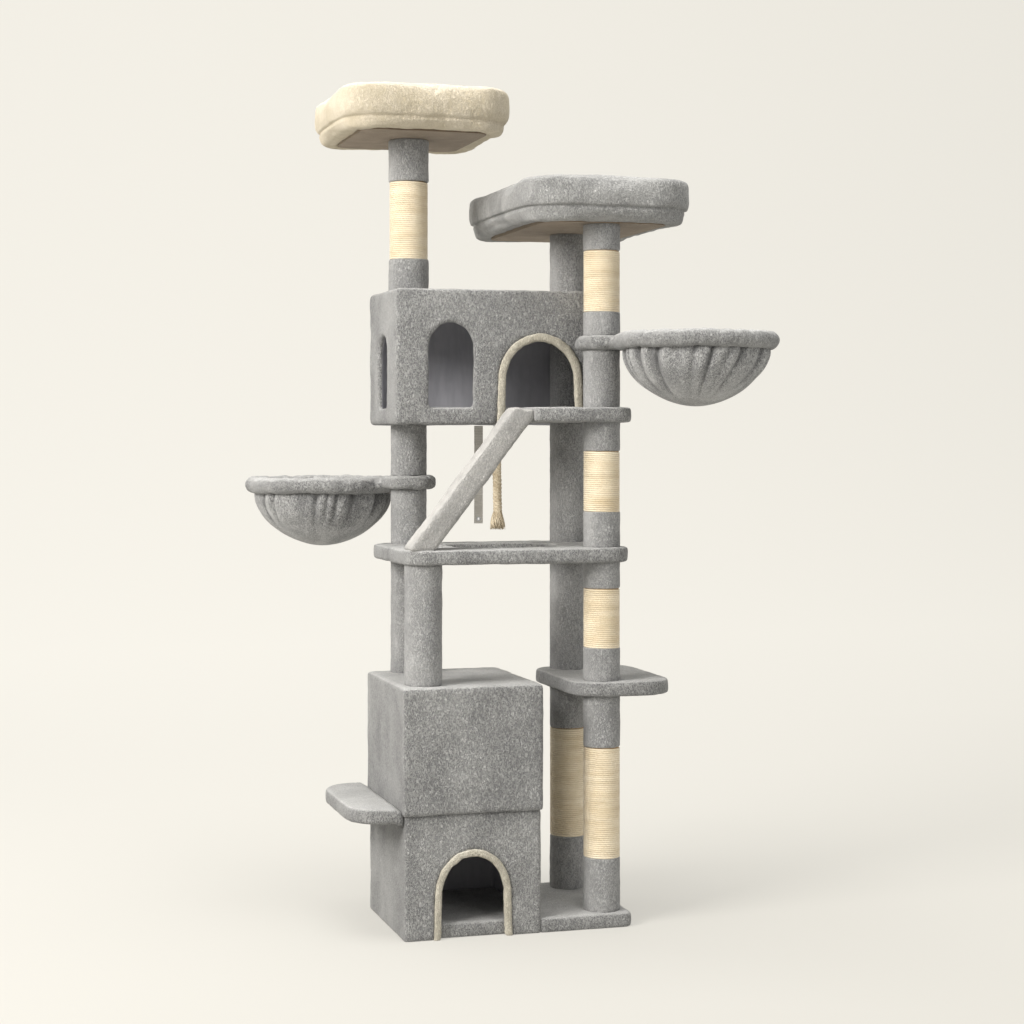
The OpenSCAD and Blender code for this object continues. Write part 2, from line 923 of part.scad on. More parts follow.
// ---- all nodes --------------------------------------------------------------

base_board();
lower_house_front();
lower_house_left();
lower_house_right();
lower_house_back();
lower_door_trim();
middle_shelf();
upper_house_front();
upper_house_left();
upper_house_right();
upper_house_back();
upper_house_top();
right_step();
middle_platform();
ramp();
ramp_bolts();
condo_floor();
condo_front();
condo_left();
condo_right();
condo_back();
condo_roof();
condo_door_trim();
front_right_tubes();
rear_right_tubes();
left_tubes();
front_right_plush();
rear_right_plush();
left_plush();
front_right_sisal();
rear_right_sisal();
left_sisal();
post_end_plugs();
post_studs();
post_bolts();
panel_screws();
left_perch_board();
left_perch_wrap();
left_perch_bolster();
left_perch_cushion();
right_perch_board();
right_perch_wrap();
right_perch_bolster();
right_perch_cushion();
left_hammock_bracket();
left_hammock_hoop();
left_hammock_collar();
left_hammock_rim();
left_hammock_bowl();
right_hammock_bracket();
right_hammock_hoop();
right_hammock_collar();
right_hammock_rim();
right_hammock_bowl();
rope_eye();
rope_toy();
rope_tassel();
strap();
strap_eyelet();
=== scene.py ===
# %% [markdown]
# # A tall cat tree
# The structure arrives as a fixed frame: every board, tube and bolt is already in
# place and at its real size. This lesson dresses it: deep plush on the panels, wound
# sisal on the posts, stuffed beds, gathered hammocks, a rope and a wall strap.

# %% Load the frame
import math

import bmesh
import bpy
import numpy as np
from mathutils import Matrix, Vector, noise


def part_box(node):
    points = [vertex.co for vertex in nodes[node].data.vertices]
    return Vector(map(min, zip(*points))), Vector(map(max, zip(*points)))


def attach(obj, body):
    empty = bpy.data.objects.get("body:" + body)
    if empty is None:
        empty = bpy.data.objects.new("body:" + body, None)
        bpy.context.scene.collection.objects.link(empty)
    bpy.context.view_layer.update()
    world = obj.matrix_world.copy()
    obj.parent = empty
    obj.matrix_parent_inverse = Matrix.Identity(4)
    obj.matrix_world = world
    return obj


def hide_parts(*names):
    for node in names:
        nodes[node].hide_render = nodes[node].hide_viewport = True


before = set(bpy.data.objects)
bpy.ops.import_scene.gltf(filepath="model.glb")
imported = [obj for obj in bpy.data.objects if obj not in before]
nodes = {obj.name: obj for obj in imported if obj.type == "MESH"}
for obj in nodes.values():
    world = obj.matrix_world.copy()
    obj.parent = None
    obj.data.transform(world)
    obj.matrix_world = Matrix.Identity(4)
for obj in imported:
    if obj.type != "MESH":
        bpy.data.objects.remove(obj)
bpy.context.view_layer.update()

# %% [markdown]
# ## The camera
# It stands a little left of the tree, at chest height, five metres back with a long
# lens, so the posts stay parallel. Looking level keeps the uprights upright, and a
# small vertical shift brings the whole tree into the frame.

# %% Camera
CAMERA_PLACE = (-1.445, -5.000, 1.200)
CAMERA_TURN = math.radians(-16.52)
CAMERA_LENS = 73.0
CAMERA_SHIFT = -0.0726

camera_data = bpy.data.cameras.new("camera")
camera_data.lens = CAMERA_LENS
camera_data.sensor_width = 36.0
camera_data.shift_y = CAMERA_SHIFT
camera = bpy.data.objects.new("camera", camera_data)
camera.location = CAMERA_PLACE
camera.rotation_euler = (math.radians(90), 0, CAMERA_TURN)
bpy.context.scene.collection.objects.link(camera)
bpy.context.scene.camera = camera
print("camera:", CAMERA_PLACE, "lens", CAMERA_LENS)

# %% Mesh helpers
def add_object(name, mesh):
    piece = bpy.data.objects.new(name, mesh)
    bpy.context.scene.collection.objects.link(piece)
    return piece


def mesh_object(name, points, faces):
    mesh = bpy.data.meshes.new(name)
    mesh.from_pydata([tuple(p) for p in points], [], faces)
    mesh.update()
    return add_object(name, mesh)


def smooth_shade(piece):
    for face in piece.data.polygons:
        face.use_smooth = True


def apply_modifiers(piece):
    """Bake the live modifiers into a plain mesh."""
    graph = bpy.context.evaluated_depsgraph_get()
    baked = bpy.data.meshes.new_from_object(piece.evaluated_get(graph))
    piece.modifiers.clear()
    piece.data = baked
    return piece


def read_points(mesh, what="co"):
    """The points of a mesh, or with "normal" their normals, one row each."""
    flat = np.empty(len(mesh.vertices) * 3)
    mesh.vertices.foreach_get(what, flat)
    return flat.reshape(-1, 3)


def write_points(mesh, points):
    mesh.vertices.foreach_set("co", np.ascontiguousarray(points).ravel())
    mesh.update()


def islands(node):
    """Low and high corners of each separate solid of a CAD node, lowest first."""
    part = bmesh.new()
    part.from_mesh(nodes[node].data)
    bmesh.ops.remove_doubles(part, verts=part.verts, dist=1e-6)
    left = set(part.verts)
    boxes = []
    while left:
        front = [left.pop()]
        seen = list(front)
        while front:
            vert = front.pop()
            for edge in vert.link_edges:
                other = edge.other_vert(vert)
                if other in left:
                    left.remove(other)
                    front.append(other)
                    seen.append(other)
        spots = np.array([v.co[:] for v in seen])
        boxes.append((spots.min(0), spots.max(0)))
    part.free()
    return sorted(boxes, key=lambda b: (round(b[0][2], 4), b[0][0]))

# %% [markdown]
# ## Floor and light
# A plain warm-white sweep: a flat floor that curves up into the wall far behind, so no
# horizon line shows from the front. A soft lamp at the upper left gives the shading, a
# dim fill from the right keeps the dark sides readable, and one overhead lights the tops.

# %% Floor and light
def stage_sweep():
    half, front, bend, back, height = 14.0, -16.0, 3.2, 7.0, 9.0
    profile = [(front, 0.0), (bend, 0.0)]
    turns = 16
    radius = back - bend
    for i in range(1, turns + 1):
        a = math.pi / 2 * i / turns
        profile.append((bend + radius * math.sin(a), radius * (1 - math.cos(a))))
    profile.append((back, height))
    points = [(x, y, z) for y, z in profile for x in (-half, half)]
    faces = [(2 * i, 2 * i + 1, 2 * i + 3, 2 * i + 2) for i in range(len(profile) - 1)]
    sweep = mesh_object("floor_sweep", points, faces)
    smooth_shade(sweep)
    return sweep


def area_lamp(name, place, aim, size, power, color):
    lamp = bpy.data.lights.new(name, "AREA")
    lamp.shape = "RECTANGLE"
    lamp.size, lamp.size_y = size
    lamp.energy = power
    lamp.color = color
    holder = bpy.data.objects.new(name, lamp)
    holder.location = place
    holder.rotation_euler = (Vector(aim) - Vector(place)).to_track_quat("-Z", "Y").to_euler()
    bpy.context.scene.collection.objects.link(holder)
    return holder


def sweep_finish():
    """Pale paper that glows a little, more on the wall than on the floor."""
    material = bpy.data.materials.new("paper_sweep")
    material.use_nodes = True
    tree = material.node_tree
    surface = tree.nodes["Principled BSDF"]
    surface.inputs["Base Color"].default_value = (0.228, 0.222, 0.205, 1)
    surface.inputs["Roughness"].default_value = 0.95
    surface.inputs["Emission Strength"].default_value = 1.0
    spot = tree.nodes.new("ShaderNodeTexCoord")
    axes = tree.nodes.new("ShaderNodeSeparateXYZ")
    depth = tree.nodes.new("ShaderNodeMapRange")
    depth.inputs["From Min"].default_value = -1.5
    depth.inputs["From Max"].default_value = 4.5
    glow = tree.nodes.new("ShaderNodeMix")
    glow.data_type = "RGBA"
    glow.inputs[6].default_value = (0.405, 0.394, 0.362, 1)
    glow.inputs[7].default_value = (0.630, 0.612, 0.564, 1)
    tree.links.new(spot.outputs["Object"], axes.inputs[0])
    tree.links.new(axes.outputs[1], depth.inputs["Value"])
    tree.links.new(depth.outputs[0], glow.inputs[0])
    tree.links.new(glow.outputs[2], surface.inputs["Emission Color"])
    return material


sweep = stage_sweep()
sweep.data.materials.append(sweep_finish())

world = bpy.data.worlds.new("soft_room")
world.use_nodes = True
world.node_tree.nodes["Background"].inputs["Color"].default_value = (1.0, 0.985, 0.95, 1)
world.node_tree.nodes["Background"].inputs["Strength"].default_value = 0.40
bpy.context.scene.world = world
bpy.context.scene.view_settings.view_transform = "Standard"
area_lamp("key_lamp", (-4.4, -1.9, 3.4), (0, 0, 0.9), (2.4, 2.4), 345, (1.0, 0.97, 0.93))
area_lamp("fill_lamp", (2.2, -5.0, 2.6), (0, 0, 1.0), (3.0, 3.0), 64, (1.0, 0.99, 0.97))
area_lamp("top_lamp", (-0.3, -0.6, 7.5), (0, 0, 0.8), (4.4, 4.4), 455, (1.0, 0.985, 0.96))

# %% [markdown]
# ## The finishes: shader sums written as sums
# Every finish here is fibre: its colour and its bumps come from a few noise patterns
# added and multiplied together. Wrapping a socket in a small class lets those sums be
# written as ordinary arithmetic, and one method makes every other kind of node.

# %% A small class for shader sockets
class Socket:
    """One output of a shader node, which takes part in ordinary sums."""

    def __init__(self, finish, output):
        self.finish = finish
        self.output = output

    def math(self, operation, first, second):
        return self.finish.node("ShaderNodeMath", {"operation": operation},
                                {0: first, 1: second})

    def __add__(self, other):
        return self.math("ADD", self, other)

    def __radd__(self, other):
        return self.math("ADD", other, self)

    def __sub__(self, other):
        return self.math("SUBTRACT", self, other)

    def __rsub__(self, other):
        return self.math("SUBTRACT", other, self)

    def __mul__(self, other):
        return self.math("MULTIPLY", self, other)

    def __rmul__(self, other):
        return self.math("MULTIPLY", other, self)


class Finish:
    """A material, and the nodes that make it."""

    def __init__(self, name, roughness=0.9, **settings):
        self.material = bpy.data.materials.new(name)
        self.material.use_nodes = True
        self.tree = self.material.node_tree
        self.surface = self.tree.nodes["Principled BSDF"]
        self.surface.inputs["Roughness"].default_value = roughness
        for socket, value in settings.items():
            self.surface.inputs[socket.replace("_", " ")].default_value = value

    def node(self, kind, settings=(), inputs=(), output=0):
        made = self.tree.nodes.new(kind)
        for key, value in dict(settings).items():
            if key == "stops":
                ramp = made.color_ramp.elements
                while len(ramp) < len(value):
                    ramp.new(0.5)
                for stop, (place, color) in zip(ramp, value):
                    stop.position = place
                    stop.color = (*color, 1)
            else:
                setattr(made, key, value)
        for key, value in dict(inputs).items():
            if isinstance(value, Socket):
                self.tree.links.new(value.output, made.inputs[key])
            else:
                made.inputs[key].default_value = value
        return Socket(self, made.outputs[output])

    def place(self, stretch=(1, 1, 1), turn=(0, 0, 0)):
        """Object coordinates, stretched along each axis."""
        spot = self.node("ShaderNodeTexCoord", output="Object")
        return self.node("ShaderNodeMapping", {}, {"Vector": spot, "Scale": stretch,
                                                   "Rotation": turn})

    def axes(self, value):
        """A vector's x, y and z."""
        split = self.node("ShaderNodeSeparateXYZ", {}, {0: value})
        return [Socket(self, output) for output in split.output.node.outputs]

    def noise(self, where, scale, detail=2.0, rough=0.5, bend=0.0):
        return self.node("ShaderNodeTexNoise", {}, {
            "Vector": where, "Scale": scale, "Detail": detail, "Roughness": rough,
            "Distortion": bend})

    def step(self, value, low, high):
        """0 below low, 1 above high, smooth between."""
        return self.node("ShaderNodeMapRange", {"interpolation_type": "SMOOTHSTEP"},
                         {"Value": value, "From Min": low, "From Max": high})

    def mix(self, amount, first, second):
        return self.node("ShaderNodeMix", {"data_type": "RGBA"},
                         {0: amount, 6: first, 7: second}, output=2)

    def color(self, value):
        self.tree.links.new(value.output, self.surface.inputs["Base Color"])

    def bump(self, height, distance, strength=1.0):
        bumps = self.node("ShaderNodeBump", {}, {"Height": height, "Distance": distance,
                                                 "Strength": strength})
        self.tree.links.new(bumps.output, self.surface.inputs["Normal"])


def paint(*tone):
    """A colour as a screen shows it, 0 to 255, turned into the renderer's own units."""
    unit = [c / 255 for c in tone]
    return tuple(c / 12.92 if c <= 0.04045 else ((c + 0.055) / 1.055) ** 2.4
                 for c in unit) + (1,)


print("shader helpers: ready")

# %% [markdown]
# ## Rope toy
# A three-strand twisted rope hangs from an eye under the condo. Its strands are real
# tubes wound round the route, so the light catches the twist, and its end is frayed
# into a short brush.

# %% Rope route and finish
ROPE_ROUTE = [(0.006, 0.030, 1.222), (0.006, 0.030, 1.206), (0.006, 0.030, 1.188),
              (0.006, 0.030, 1.168), (0.007, 0.030, 1.148), (0.007, 0.030, 1.128),
              (0.007, 0.030, 1.108), (0.008, 0.030, 1.088), (0.008, 0.030, 1.068),
              (0.008, 0.030, 1.048), (0.009, 0.030, 1.028), (0.009, 0.030, 1.010)]
ROPE_DIAMETER = 0.023
STRANDS = 3
TWISTS = 7.5
STRAND_RADIUS = ROPE_DIAMETER * 0.25


def rope_finish(name, pale, dark):
    finish = Finish(name, roughness=0.85, Sheen_Weight=0.15)
    fibre = finish.noise(finish.place((1, 1, 0.35), (0.5, 0.5, 0)), 620, 3)
    patch = finish.noise(finish.place(), 45, 2)
    tone = finish.step(fibre * 0.7 + patch * 0.5, 0.35, 0.85)
    finish.color(finish.mix(tone, dark, pale))
    finish.bump(fibre, 0.0012, 0.8)
    return finish.material


rope_fibre = rope_finish("rope_fibre", paint(222, 210, 186), paint(160, 142, 112))
route = [Vector(p) for p in ROPE_ROUTE]
rope_length = sum((b - a).length for a, b in zip(route, route[1:]))
print("rope:", round(rope_length, 4), "m along its route")


# %% A tube along a list of points
def tube_rings(path, radii, sides=10):
    """Rings of points round a path that runs roughly downwards, and their faces."""
    points, faces = [], []
    side = Vector((1, 0, 0))
    for i, spot in enumerate(path):
        ahead = (path[min(i + 1, len(path) - 1)] - path[max(i - 1, 0)]).normalized()
        side = (side - ahead * side.dot(ahead)).normalized()
        other = ahead.cross(side)
        for k in range(sides):
            a = 2 * math.pi * k / sides
            points.append(spot + (side * math.cos(a) + other * math.sin(a)) * radii[i])
    for i in range(len(path) - 1):
        for k in range(sides):
            a, b = i * sides + k, i * sides + (k + 1) % sides
            faces.append((a, b, b + sides, a + sides))
    faces.append(tuple(reversed(range(sides))))
    faces.append(tuple(range((len(path) - 1) * sides, len(path) * sides)))
    return points, faces


def tube_object(name, paths, radii, sides=10, material=None):
    """One mesh of tubes, each along its own path."""
    all_points, all_faces = [], []
    for path, widths in zip(paths, radii):
        points, faces = tube_rings(path, widths, sides)
        all_faces += [tuple(i + len(all_points) for i in face) for face in faces]
        all_points += points
    piece = mesh_object(name, all_points, all_faces)
    outward(piece)
    smooth_shade(piece)
    if material:
        piece.data.materials.append(material)
    return piece


def outward(piece):
    """Turn every face of a closed mesh to the outside."""
    work = bmesh.new()
    work.from_mesh(piece.data)
    bmesh.ops.recalc_face_normals(work, faces=work.faces)
    work.to_mesh(piece.data)
    work.free()


# %% Twist the rope
def strand_path(index, steps):
    """Centreline of one strand, wound round the route."""
    spots = []
    for i in range(steps + 1):
        t = i / steps
        along = t * (len(route) - 1)
        k = min(int(along), len(route) - 2)
        centre = route[k].lerp(route[k + 1], along - k)
        a = 2 * math.pi * (TWISTS * t + index / STRANDS)
        spots.append(centre + Vector((math.cos(a) * STRAND_RADIUS,
                                      math.sin(a) * STRAND_RADIUS, 0)))
    return spots


rope_steps = 160
strands = [strand_path(i, rope_steps) for i in range(STRANDS)]
rope = tube_object("twisted_rope", strands, [[STRAND_RADIUS] * (rope_steps + 1)] * STRANDS,
                   12, rope_fibre)
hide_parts("rope_toy")
print("rope:", len(rope.data.polygons), "faces")

# %% Fray its end
TASSEL_HEIGHT = 0.042
TASSEL_FIBRES = 190
TASSEL_ROOT, TASSEL_FLARE, TASSEL_TUCK = 0.0095, 0.0195, 0.006


def frayed_fibres():
    """Loose yarns that spread from the rope's end."""
    dice = np.random.default_rng(4)
    end = route[-1]
    paths, widths = [], []
    for _ in range(TASSEL_FIBRES):
        a = dice.uniform(0, 2 * math.pi)
        reach = math.sqrt(dice.uniform(0, 1))
        start = end + Vector((math.cos(a), math.sin(a), 0)) * reach * TASSEL_ROOT
        start.z += TASSEL_TUCK
        drop = TASSEL_HEIGHT * dice.uniform(0.72, 1.0)
        flare = TASSEL_FLARE * reach
        twist = dice.uniform(0.3, 1.1)
        path = []
        for i in range(7):
            t = i / 6
            turn = a + twist * t
            root = reach * TASSEL_ROOT
            out = root + (flare - root) * math.sin(t * 1.35) ** 1.2
            path.append(Vector((end.x + math.cos(turn) * out, end.y + math.sin(turn) * out,
                                start.z - (drop + TASSEL_TUCK) * t)))
        paths.append(path)
        thick = dice.uniform(0.0009, 0.0016)
        widths.append([thick] * 5 + [thick * 0.8, thick * 0.35])
    return paths, widths


tassel = tube_object("frayed_end", *frayed_fibres(), 5, rope_fibre)
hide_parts("rope_tassel")
for piece in (rope, tassel):
    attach(piece, "hanging_rope")
print("frayed end:", TASSEL_FIBRES, "yarns")

# %% [markdown]
# ## Plush
# The boards are glued into a short knitted plush. Seen square on it is a field of
# small crooked ridges, dark between them. Brushed flat along the sides and tops it is
# smoother. Both looks come from one noise whose middle value draws the ridges, and a
# mask from the direction that the surface faces. The same facing masks also paint
# light and shade into the colour: tops are painted lighter, as if lit from above, and
# front faces a little darker. The finish for gathered cloth paints shade into its creases.

# %% Plush finishes
def plush_finish(name, pale, mid, dark, nub=1.0, seed=0.0, shade_creases=False, painted_top_light=0.24):
    finish = Finish(name, roughness=1.0, Sheen_Weight=0.12, Sheen_Roughness=0.5)
    _, ahead, up = finish.axes(finish.node("ShaderNodeTexCoord", output="Normal"))
    front = finish.step(ahead * -1.0, 0.35, 0.95)
    where = finish.place((1, 1, 0.55))
    wander = finish.noise(where, 205 + seed, 2.5, 0.6, 0.9)
    ridge = 1 - finish.step(finish.node("ShaderNodeMath", {"operation": "ABSOLUTE"},
                                        {0: wander - 0.5}), 0.0, 0.11)
    top = finish.step(up, 0.4, 0.9)
    grain = finish.noise(finish.place(), 520, 3, 0.7)
    brushed = finish.noise(finish.place((1, 1, 0.7)), 9.0 + seed, 3, 0.55, 0.6)
    coarse = ridge * (front * 0.6 + 0.4) * nub
    height = coarse * 0.8 + grain * 0.55
    # Painted light and shade: front faces a little darker, tops lighter as if lit from above.
    tone = height * 0.42 + brushed * 0.34 - front * 0.05 + top * painted_top_light
    # Painted shade: darker where the cloth is creased in its gathers.
    if shade_creases:
        tone = tone - 0.30 * finish.node("ShaderNodeAttribute", {"attribute_name": "crease"},
                                         output="Fac")
    light = finish.step(tone, 0.08, 0.84)
    finish.color(finish.mix(finish.step(light, 0.45, 1.0),
                            finish.mix(finish.step(light, 0.0, 0.5), dark, mid), pale))
    finish.bump(height, 0.0058, 0.9)
    return finish.material


grey_plush = plush_finish("grey_plush", paint(218, 218, 216), paint(174, 174, 173),
                          paint(116, 116, 117))
post_plush = plush_finish("post_plush", paint(220, 220, 218), paint(190, 190, 189),
                          paint(134, 134, 135), nub=0.7, seed=3.0)
# The beds' tops get only a little painted light.
bed_plush = plush_finish("bed_plush", paint(216, 216, 214), paint(190, 190, 188),
                         paint(130, 130, 130), nub=0.75, seed=4.0, painted_top_light=0.06)
# This finish paints shade into the creases of the hammock bowls.
gathered_plush = plush_finish("gathered_plush", paint(226, 226, 224), paint(204, 204, 203),
                              paint(122, 122, 123), nub=0.8, seed=2.0, shade_creases=True)
ramp_plush = plush_finish("ramp_plush", paint(223, 221, 217), paint(199, 197, 193),
                          paint(160, 159, 157), nub=0.55, seed=6.0)
cream_plush = plush_finish("cream_plush", paint(244, 234, 214), paint(228, 217, 196),
                           paint(196, 184, 158), nub=0.5, seed=5.0)
cream_binding = plush_finish("cream_binding", paint(240, 235, 220), paint(222, 216, 199),
                             paint(184, 177, 160), nub=0.7, seed=8.0)


# %% Linings, card, wood, steel
def lining_finish():
    """Bare painted board inside the rooms: matt, with a faint grain."""
    finish = Finish("charcoal_lining", roughness=0.85)
    grain = finish.noise(finish.place((1, 1, 0.2)), 60, 4, 0.6)
    wear = finish.noise(finish.place(), 6, 2)
    finish.color(finish.mix(finish.step(grain * 0.5 + wear * 0.5, 0.3, 0.7),
                            paint(160, 160, 167), paint(180, 180, 186)))
    finish.bump(grain, 0.0004, 0.4)
    return finish.material


def weave_finish(name, pale, dark, size):
    """Plain weave: warp and weft as two crossed sine waves."""
    finish = Finish(name, roughness=0.9, Sheen_Weight=0.1)
    spot = finish.node("ShaderNodeTexCoord", output="Object")
    warp, weft = [finish.node(
        "ShaderNodeTexWave", {"bands_direction": axis},
        {"Vector": spot, "Scale": size, "Distortion": 0.8, "Detail": 2.0}, output="Fac")
        for axis in "XY"]
    cloudy = finish.noise(spot, 25, 3)
    threads = warp * weft
    finish.color(finish.mix(finish.step(threads * 0.6 + cloudy * 0.6, 0.25, 0.8), dark, pale))
    finish.bump(threads, 0.0006, 0.7)
    return finish.material


def steel_finish():
    finish = Finish("zinc_steel", roughness=0.36, Metallic=1.0)
    brush = finish.noise(finish.place((1, 1, 0.08)), 240, 3)
    finish.color(finish.mix(brush, paint(160, 162, 165), paint(205, 207, 208)))
    finish.bump(brush, 0.0002, 0.3)
    return finish.material


def card_finish():
    finish = Finish("tube_card", roughness=0.9)
    fibre = finish.noise(finish.place((1, 1, 3)), 120, 4)
    finish.color(finish.mix(finish.step(fibre, 0.3, 0.7), paint(150, 120, 84),
                            paint(186, 158, 120)))
    finish.bump(fibre, 0.0004, 0.4)
    return finish.material


def wood_finish():
    finish = Finish("birch_plug", roughness=0.65)
    rings = finish.node("ShaderNodeTexWave", {"wave_type": "RINGS", "rings_direction": "Z"},
                        {"Vector": finish.place((1, 1, 0.1)), "Scale": 60.0,
                         "Distortion": 3.0, "Detail": 3.0}, output="Fac")
    finish.color(finish.mix(rings, paint(206, 178, 138), paint(226, 204, 168)))
    finish.bump(rings, 0.0003, 0.3)
    return finish.material


charcoal_lining = lining_finish()
taupe_weave = weave_finish("taupe_weave", paint(160, 144, 124), paint(112, 98, 82), 130)
webbing_weave = weave_finish("strap_weave", paint(236, 233, 227), paint(206, 202, 194), 210)
zinc_steel = steel_finish()
tube_card = card_finish()
birch_plug = wood_finish()
print("finishes:", len(bpy.data.materials))

# %% [markdown]
# ## Covering the boards
# Real boards are wrapped: the plush turns over every edge, so no edge is sharp and no
# joint between two panels shows. Each room's panels are fused with a voxel remesh into
# one skin, which a few rounds of smoothing then soften. Inside, the skin is bare
# painted board, told apart by its place.

# %% Fuse the boards of one cover
def add_block(work, low, high):
    """A closed box between two corners, added to a mesh in the making."""
    corners = [work.verts.new((x, y, z)) for z in (low[2], high[2])
               for x, y in ((low[0], low[1]), (high[0], low[1]),
                            (high[0], high[1]), (low[0], high[1]))]
    for side in ((3, 2, 1, 0), (4, 5, 6, 7), (0, 1, 5, 4), (1, 2, 6, 5), (2, 3, 7, 6),
                 (3, 0, 4, 7)):
        work.faces.new([corners[i] for i in side])


def merged_boards(name, sources, padding=()):
    """One mesh with copies of some frame nodes, their loose triangles joined. padding
    is the low and high corners of blocks of wadding under the cloth."""
    work = bmesh.new()
    for source in sources:
        work.from_mesh(nodes[source].data)
    bmesh.ops.remove_doubles(work, verts=work.verts, dist=1e-5)
    for low, high in padding:
        add_block(work, low, high)
    mesh = bpy.data.meshes.new(name)
    work.to_mesh(mesh)
    work.free()
    return add_object(name, mesh)


def remeshed(piece, voxel, rounds):
    """Fused with a voxel remesh, its edges softened by some rounds of smoothing."""
    fuse = piece.modifiers.new("fuse", "REMESH")
    fuse.mode = "VOXEL"
    fuse.voxel_size = voxel
    soften = piece.modifiers.new("soften", "SMOOTH")
    soften.factor = 0.5
    soften.iterations = rounds
    apply_modifiers(piece)
    return piece


FLOOR_SKIN = 0.0003


def grow(piece, amount, scale=14.0, rough=0.0, seed=0):
    """Move the surface out by amount, and by up to rough more or less where it wanders.
    Nothing goes below the floor: plush that stands on it is pressed flat."""
    mesh = piece.data
    points, normals = read_points(mesh), read_points(mesh, "normal")
    drift = np.full(len(points), amount)
    if rough:
        shift = Vector((seed, 2.0 * seed, 0))
        drift = drift + rough * np.array([noise.noise(Vector(p) * scale + shift)
                                          + 0.5 * noise.noise(Vector(p) * scale * 3.1 + shift)
                                          for p in points])
    points = points + normals * drift[:, None]
    points[:, 2] = np.maximum(points[:, 2], FLOOR_SKIN)
    write_points(mesh, points)


def line_inside(piece, low, high, material):
    """Give the faces between two corners another finish, apart from the floor."""
    piece.data.materials.append(material)
    low, high = Vector(low), Vector(high)
    count = 0
    for face in piece.data.polygons:
        c = face.center
        if all(low[k] < c[k] < high[k] for k in range(3)) and face.normal.z < 0.6:
            face.material_index = 1
            count += 1
    return count


def dress(piece, material, body, slot, *sources):
    """Give a piece its finish and its body, in place of some nodes of the frame."""
    smooth_shade(piece)
    piece.data.materials.clear()
    piece.data.materials.append(material)
    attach(piece, body)
    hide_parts(*sources)
    print(piece.name + ":", len(piece.data.polygons), "faces")
    return piece


def plush_cover(name, sources, voxel=0.005, rounds=8, lift=0.0016, rough=0.0016, seed=1,
                material=grey_plush, padding=()):
    piece = remeshed(merged_boards(name, sources, padding), voxel, rounds)
    grow(piece, lift, rough=rough, seed=seed)
    return dress(piece, material, "tree", "plush_board", *sources)


# %% Rooms
HOUSE_PANELS = ("front", "left", "right", "back")
upper_cover = plush_cover("upper_house_cover", [f"upper_house_{p}" for p in HOUSE_PANELS]
                          + ["upper_house_top"], rounds=14, seed=1)
lower_cover = plush_cover("lower_house_cover", [f"lower_house_{p}" for p in HOUSE_PANELS],
                          rounds=10, seed=2)
condo_cover = plush_cover("condo_cover", ["condo_front", "condo_left", "condo_right",
                                          "condo_back", "condo_roof"], rounds=16, seed=3)


LINING_DEPTH = 0.0105
LINING_DROP = 0.05


def room_box(front, side):
    """Inside of a room: the outer corners of its panels, less part of the wall."""
    low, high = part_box(front)[0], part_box(side)[1]
    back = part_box(front.replace("front", "back"))[1][1]
    return ((low[0] + LINING_DEPTH, low[1] + LINING_DEPTH, low[2] - LINING_DROP),
            (high[0] - LINING_DEPTH, back - LINING_DEPTH, high[2] - LINING_DEPTH))


for cover, room in ((upper_cover, "upper_house"), (lower_cover, "lower_house"),
                    (condo_cover, "condo")):
    lined = line_inside(cover, *room_box(room + "_front", room + "_right"), charcoal_lining)
    print(cover.name, "lined faces:", lined)

# %% [markdown]
# ## Boards
# The base, the shelves and the step are single padded boards with a rolled edge. They
# take more smoothing than the rooms, so that their edges become a full round.

# %% Boards
STEP_EDGE, STEP_BLEND, STEP_RISE = -0.288, 0.02, 0.010
PORCH_LOW, PORCH_HIGH = (0.0386, -0.200), (0.0440, -0.120)
RAMP_WADDING = ((0.006, -0.189, 1.243), (0.0372, -0.131, 1.2655))

plush_cover("base_cover", ["base_board"], rounds=8, seed=4)
shelf_cover = plush_cover("middle_shelf_cover", ["middle_shelf"], rounds=14, lift=0.002,
                          seed=5)
shelf_points = read_points(shelf_cover.data)
outside = np.clip((STEP_EDGE - shelf_points[:, 0]) / STEP_BLEND, 0, 1)
shelf_points[:, 2] += STEP_RISE * outside
write_points(shelf_cover.data, shelf_points)
plush_cover("right_step_cover", ["right_step"], voxel=0.004, rounds=16, lift=0.002, seed=6)
plush_cover("platform_cover", ["middle_platform"], voxel=0.004, rounds=16, lift=0.002, seed=7)
floor_low, floor_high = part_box("condo_floor")
plush_cover("condo_floor_cover", ["condo_floor"], voxel=0.004, rounds=16, lift=0.002, seed=8,
            padding=[((*PORCH_LOW, floor_low[2]), (*PORCH_HIGH, floor_high[2]))])
plush_cover("ramp_cover", ["ramp"], voxel=0.004, rounds=18, lift=0.003, rough=0.0025,
            seed=9, material=ramp_plush, padding=[RAMP_WADDING])

# %% Crown the condo's roof
ROOF_FROM, ROOF_BLEND, ROOF_CROWN = 1.46, 0.09, 0.007

condo_points = read_points(condo_cover.data)
condo_points[:, 2] += ROOF_CROWN * np.clip((condo_points[:, 2] - ROOF_FROM) / ROOF_BLEND, 0, 1)
write_points(condo_cover.data, condo_points)
print("roof crown: top at", round(float(condo_points[:, 2].max()), 4))

# %% Stitch the ramp
RAMP_FOOT, RAMP_HEAD = Vector((-0.243, 0, 0.929)), Vector((0.013, 0, 1.262))


